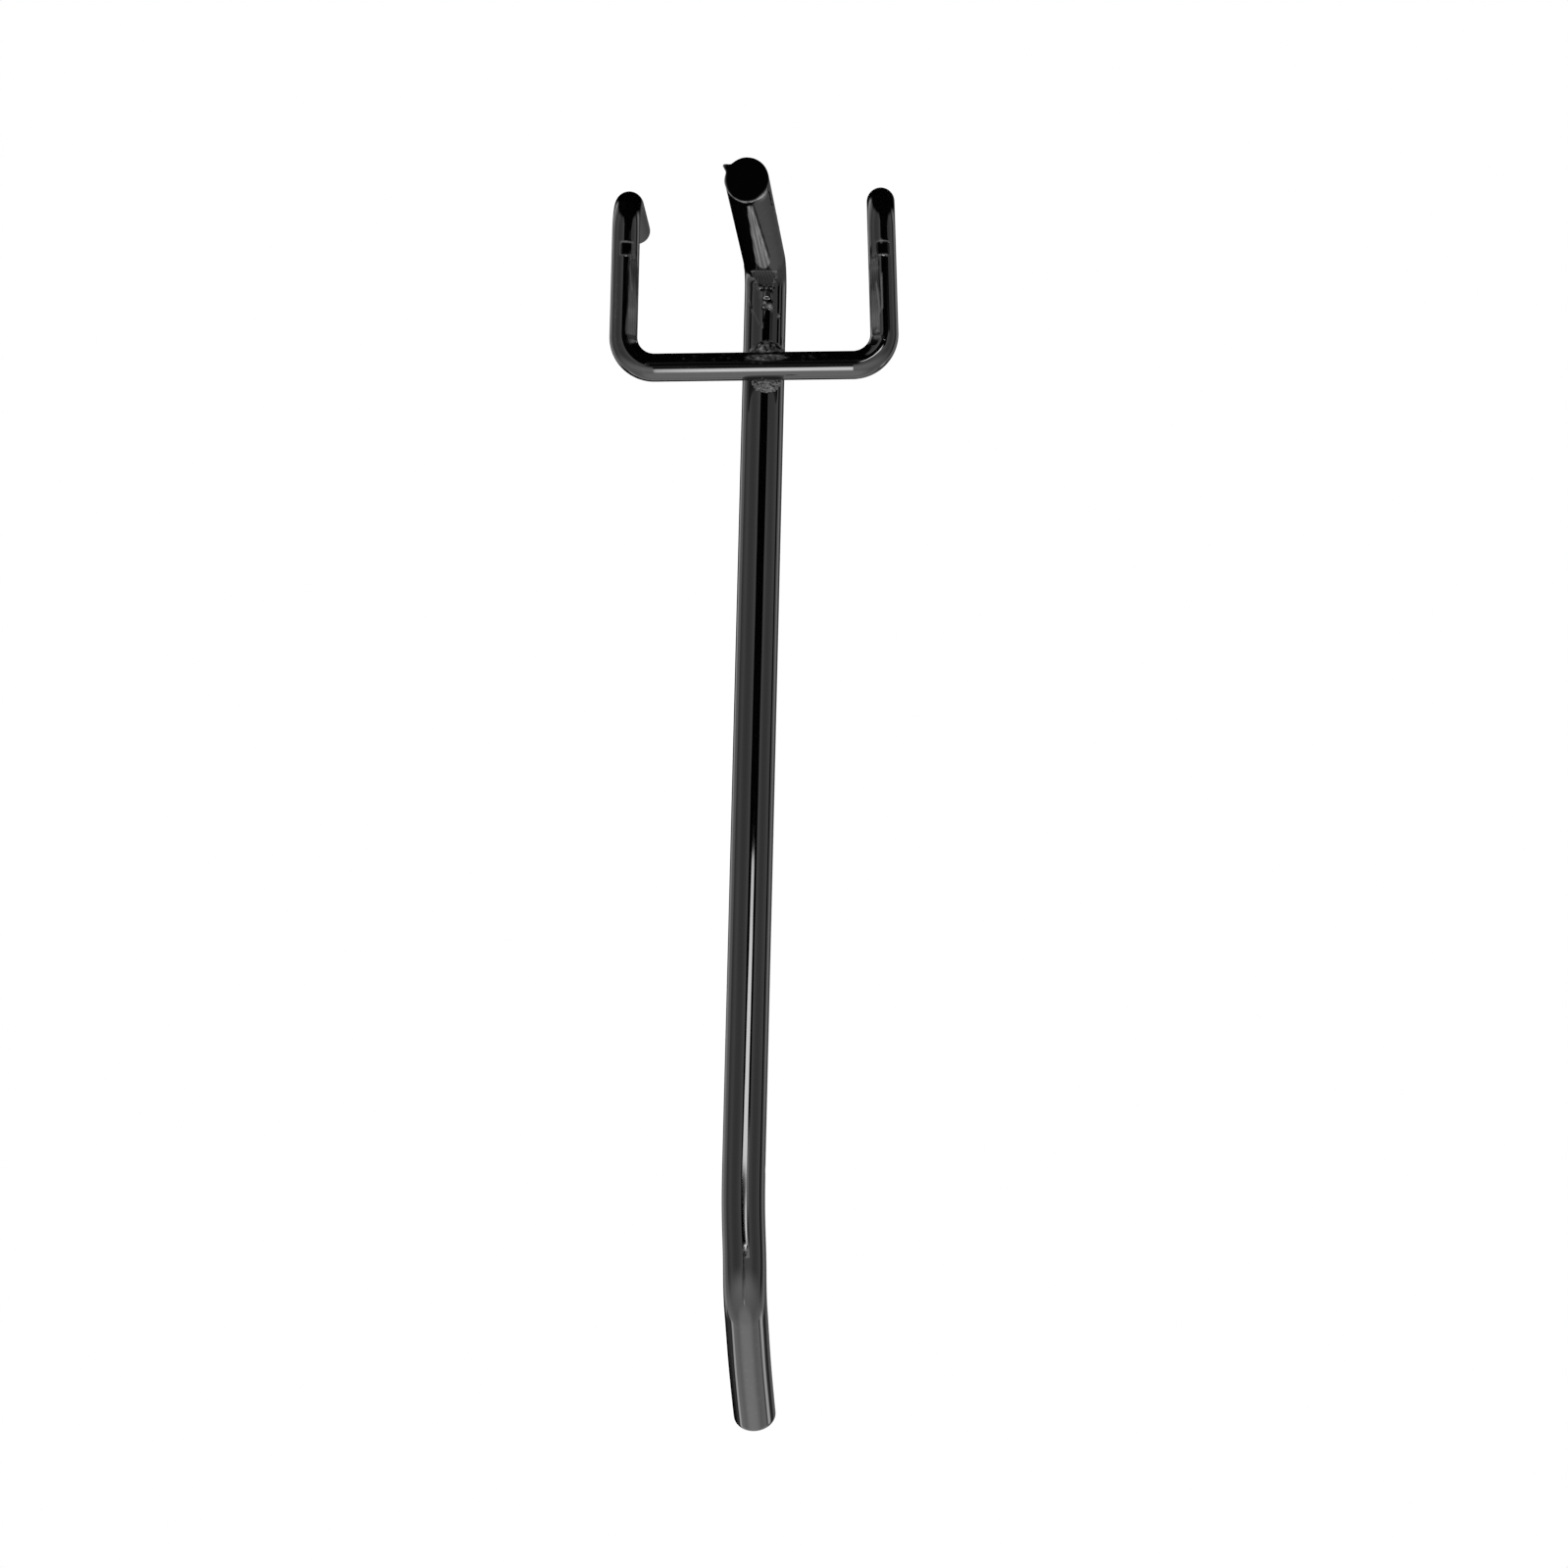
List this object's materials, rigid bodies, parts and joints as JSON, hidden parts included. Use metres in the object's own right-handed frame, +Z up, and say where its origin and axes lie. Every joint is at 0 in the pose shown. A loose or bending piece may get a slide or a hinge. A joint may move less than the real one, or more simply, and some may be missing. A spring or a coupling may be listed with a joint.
{
  "type": "pegboard hook",
  "caption": "Bent and welded round-wire pegboard hook with a raised front tip, a heel that lies flat on the board and a U-shaped back wire whose prongs turn up behind it.",
  "frame": {"origin": "on the board's front face, in the rod's centre plane, at the height where the prongs enter the board", "axes": "+Z up as the hook hangs, -Y out of the board towards the rod's tip, +X to the right for someone facing the board"},
  "size_m": [0.0355, 0.1493, 0.0583],
  "materials": {
    "black_coat": "high gloss black coat over steel wire",
    "coated_weld": "rough weld metal under the same gloss black coat"
  },
  "bodies": {
    "root": {"hook_rod": "black_coat", "back_wire": "black_coat", "weld_bead": "coated_weld"}
  },
  "joints": []
}
